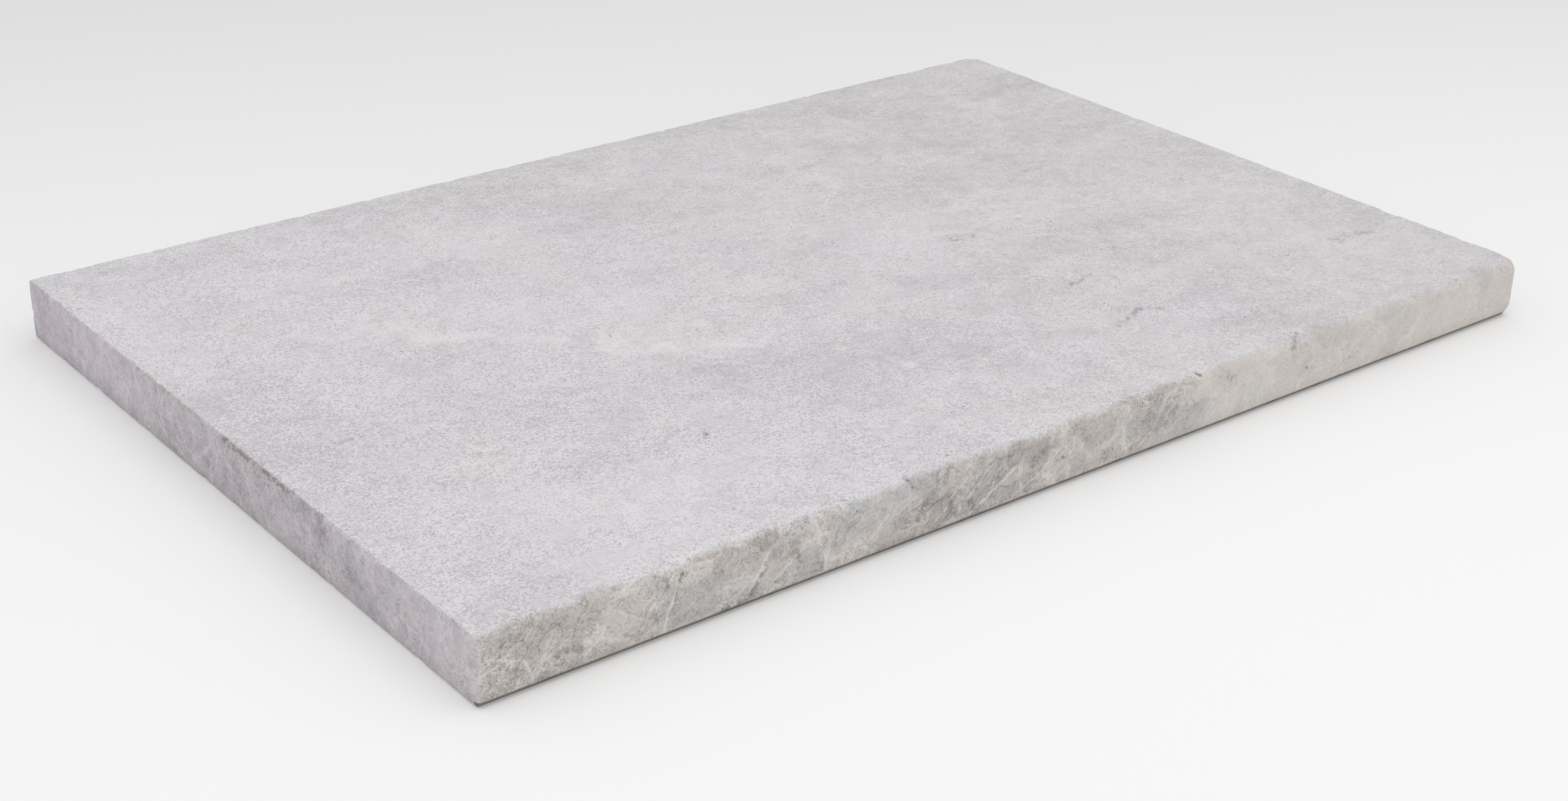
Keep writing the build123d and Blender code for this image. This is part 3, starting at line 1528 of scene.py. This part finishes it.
        place = pen.scaled(pen.wire("GeometryNodeInputPosition"), 1 / MM)
        edge = marked("edge")
        blasted, _ = body.finishes(pen, place, marked("sawn"))
        fissure = body.seams(pen, body.tight(pen, place), WORKED_EDGE_SEAMS[Tone.OPEN])
        swell = pen.noise(place, size=34.0, seed=21, detail=2.0)
        pitting = pen.noise(place, size=7.0, seed=22, detail=2.0)
        rub = pen.noise(place, size=9.0, seed=23, detail=3.0, roughness=0.6)
        chipping = pen.noise(place, size=9.0, seed=24, detail=3.0, roughness=0.6)
        chip = pen.rise(chipping, *self.chip_levels)
        rubbed = pen.rise(pen.along(place, ALONG), *self.rubbed_span, *self.rubbed_share)
        inward = (
            blasted * (swell * size["swell"] + pitting * size["blast"])
            + pen.fall(edge, 0.0, size["wear_reach"]) * rub * size["wear"]
            + pen.fall(edge, 0.0, size["chip_reach"]) * chip * size["chips"]
            + pen.fall(marked("corner"), 0.0, size["corner_reach"]) * rubbed * size["corners"]
            + fissure * size["fissures"]
        )
        # The bed stays flat, so what lies close to it moves sideways only.
        lifted = pen.rise(pen.along(place, UP), *self.bed_free)
        free = pen.wire("ShaderNodeCombineXYZ", None, {"X": 1.0, "Y": 1.0, "Z": lifted})
        outward = pen.vector("MULTIPLY", marked("facing", "FLOAT_VECTOR"), free)
        offset = pen.scaled(outward, inward * -MM)
        stone = Wire(pen, source.outputs["Geometry"])
        moved = pen.wire("GeometryNodeSetPosition", None, {"Geometry": stone, "Offset": offset})
        realized = pen.wire("GeometryNodeRealizeInstances", None, {"Geometry": moved})
        dressed = pen.wire(
            "GeometryNodeSetMaterial", None, {"Geometry": realized, "Material": material}
        )
        pen.node("NodeGroupOutput", None, {"Geometry": dressed})
        return tree

    def build(self, body: StoneBody, material: bpy.types.Material) -> bpy.types.Object:
        """Make the finished stone.

        Args:
            body: The solid pattern of the stone.
            material: Its material.

        Returns:
            The stone as a plain mesh object.
        """
        stone = bpy.data.objects.new("limestone_coping", self.shell())
        bpy.context.scene.collection.objects.link(stone)
        modifier = stone.modifiers.new("relief", "NODES")
        modifier.node_group = self.relief(body, material)
        sizes = asdict(self.relief_sizes)
        for item in modifier.node_group.interface.items_tree:
            if item.in_out == "INPUT" and item.name in sizes:
                modifier[item.identifier] = sizes[item.name]
        evaluated = stone.evaluated_get(bpy.context.evaluated_depsgraph_get())
        worked = bpy.data.meshes.new_from_object(evaluated)
        worked.name = "limestone_coping"
        stone.modifiers.clear()
        stone.data = worked
        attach(stone, "root")
        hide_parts("coping_stone")
        return stone


@dataclass(frozen=True)
class Studio:
    """The pale floor, the soft light and the camera.

    Attributes:
        floor_reach: Half the side of the floor in metres.
        lit_near_floor: Colour of the floor towards the viewer, painted lighter as if more light
            fell there.
        shaded_far_floor: Colour of the floor behind the stone, painted darker as if the light fell
            off there.
        floor_glow: How strongly the floor glows by itself, painted light which softens the shadow
            on it.
        fade_turn: Turn of the floor's painted falloff of light away from the line of sight, in
            degrees.
        fade_span: Distances from the middle between which that painted falloff runs, in metres.
        sky: Strength of the even light from all round.
        lamp_place: Middle of the soft lamp.
        lamp_side: Side of the soft lamp.
        lamp_power: Power of the soft lamp in watts.
        viewer: Place of the camera.
        aim: Point in the middle of the picture.
        roll: Turn of the camera about its line of sight, in degrees.
        lens: Focal length in millimetres.
        sensor: Width of the sensor in millimetres.
        nearest: Distance from which the camera sees things, in metres.
    """

    floor_reach: float = 15.0
    lit_near_floor: Colour = srgb(231, 231, 231)
    shaded_far_floor: Colour = srgb(206, 206, 207)
    floor_glow: float = 0.165
    fade_turn: float = 12.0
    fade_span: Span = (-0.35, 1.0)
    sky: float = 0.9
    lamp_place: Point = (0.1, -0.5, 1.5)
    lamp_side: float = 1.2
    lamp_power: float = 3.0
    viewer: Point = (-0.66093, -0.82123, 0.47035)
    aim: Point = (-0.09305, -0.11258, 0.03)
    roll: float = 1.171
    lens: float = 54.293
    sensor: float = 36.0
    nearest: float = 0.01

    def floor(self) -> None:
        """Lay the floor, with a painted falloff of light and a glow."""
        reach = self.floor_reach
        mesh = bpy.data.meshes.new("studio_floor")
        corners = [(-reach, -reach, 0), (reach, -reach, 0), (reach, reach, 0), (-reach, reach, 0)]
        mesh.from_pydata(corners, [], [(0, 1, 2, 3)])
        material = bpy.data.materials.new("studio_floor")
        pen = NodePen.fresh(material)
        place = pen.wire("ShaderNodeTexCoord", None, None, "Object")
        # Painted light: the floor's colour darkens from the viewer's side to the far side, as if
        # its light fell off.
        away = (Vector(self.aim) - Vector(self.viewer)) * Vector((1.0, 1.0, 0.0))
        away.rotate(Quaternion(UP, math.radians(self.fade_turn)))
        share = pen.rise(pen.along(place, away.normalized()), *self.fade_span)
        colour = pen.mix(share, self.lit_near_floor, self.shaded_far_floor)
        shader = pen.wire(
            "ShaderNodeBsdfPrincipled",
            None,
            {
                "Base Color": colour,
                "Roughness": 1.0,
                "Specular IOR Level": 0.0,
                # The floor glows: painted light that lightens the shadows on it.
                "Emission Color": colour,
                "Emission Strength": self.floor_glow,
            },
        )
        pen.node("ShaderNodeOutputMaterial", None, {"Surface": shader})
        material.cycles.emission_sampling = "NONE"
        mesh.materials.append(material)
        floor = bpy.data.objects.new("studio_floor", mesh)
        bpy.context.scene.collection.objects.link(floor)

    def light(self) -> None:
        """Hang the soft lamp and light the world evenly."""
        scene = bpy.context.scene
        world = bpy.data.worlds.new("studio")
        pen = NodePen.fresh(world)
        glow = pen.wire(
            "ShaderNodeBackground", None, {"Color": (1.0, 1.0, 1.0, 1.0), "Strength": self.sky}
        )
        pen.node("ShaderNodeOutputWorld", None, {"Surface": glow})
        scene.world = world

        lamp = bpy.data.lights.new("softbox", "AREA")
        lamp.shape = "SQUARE"
        lamp.size = self.lamp_side
        lamp.energy = self.lamp_power
        holder = bpy.data.objects.new("softbox", lamp)
        holder.location = self.lamp_place
        holder.rotation_euler = (-Vector(self.lamp_place)).to_track_quat("-Z", "Y").to_euler()
        scene.collection.objects.link(holder)

    def camera(self) -> None:
        """Set up the camera."""
        data = bpy.data.cameras.new("studio_camera")
        data.sensor_fit = "HORIZONTAL"
        data.sensor_width = self.sensor
        data.lens = self.lens
        data.clip_start = self.nearest
        camera = bpy.data.objects.new("studio_camera", data)
        sight = Vector(self.aim) - Vector(self.viewer)
        turn = sight.to_track_quat("-Z", "Y") @ Quaternion(UP, math.radians(self.roll))
        camera.location = self.viewer
        camera.rotation_euler = turn.to_euler()
        bpy.context.scene.collection.objects.link(camera)
        bpy.context.scene.camera = camera


def main() -> None:
    """Build the stone and its studio, and report each piece."""
    logging.basicConfig(level=logging.INFO, format="%(name)s: %(message)s")
    bpy.context.scene.view_settings.view_transform = "Standard"

    studio = Studio()
    studio.camera()
    studio.light()
    studio.floor()
    LOG.info("studio: floor, softbox and camera")

    low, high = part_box("coping_stone")
    body = StoneBody()
    stone = CopingStone(low, high).build(body, LimestoneMaterial(body).build())
    triangles = sum(len(face.vertices) - 2 for face in stone.data.polygons)
    LOG.info("%s: %d triangles", stone.name, triangles)


if __name__ == "__main__":
    main()
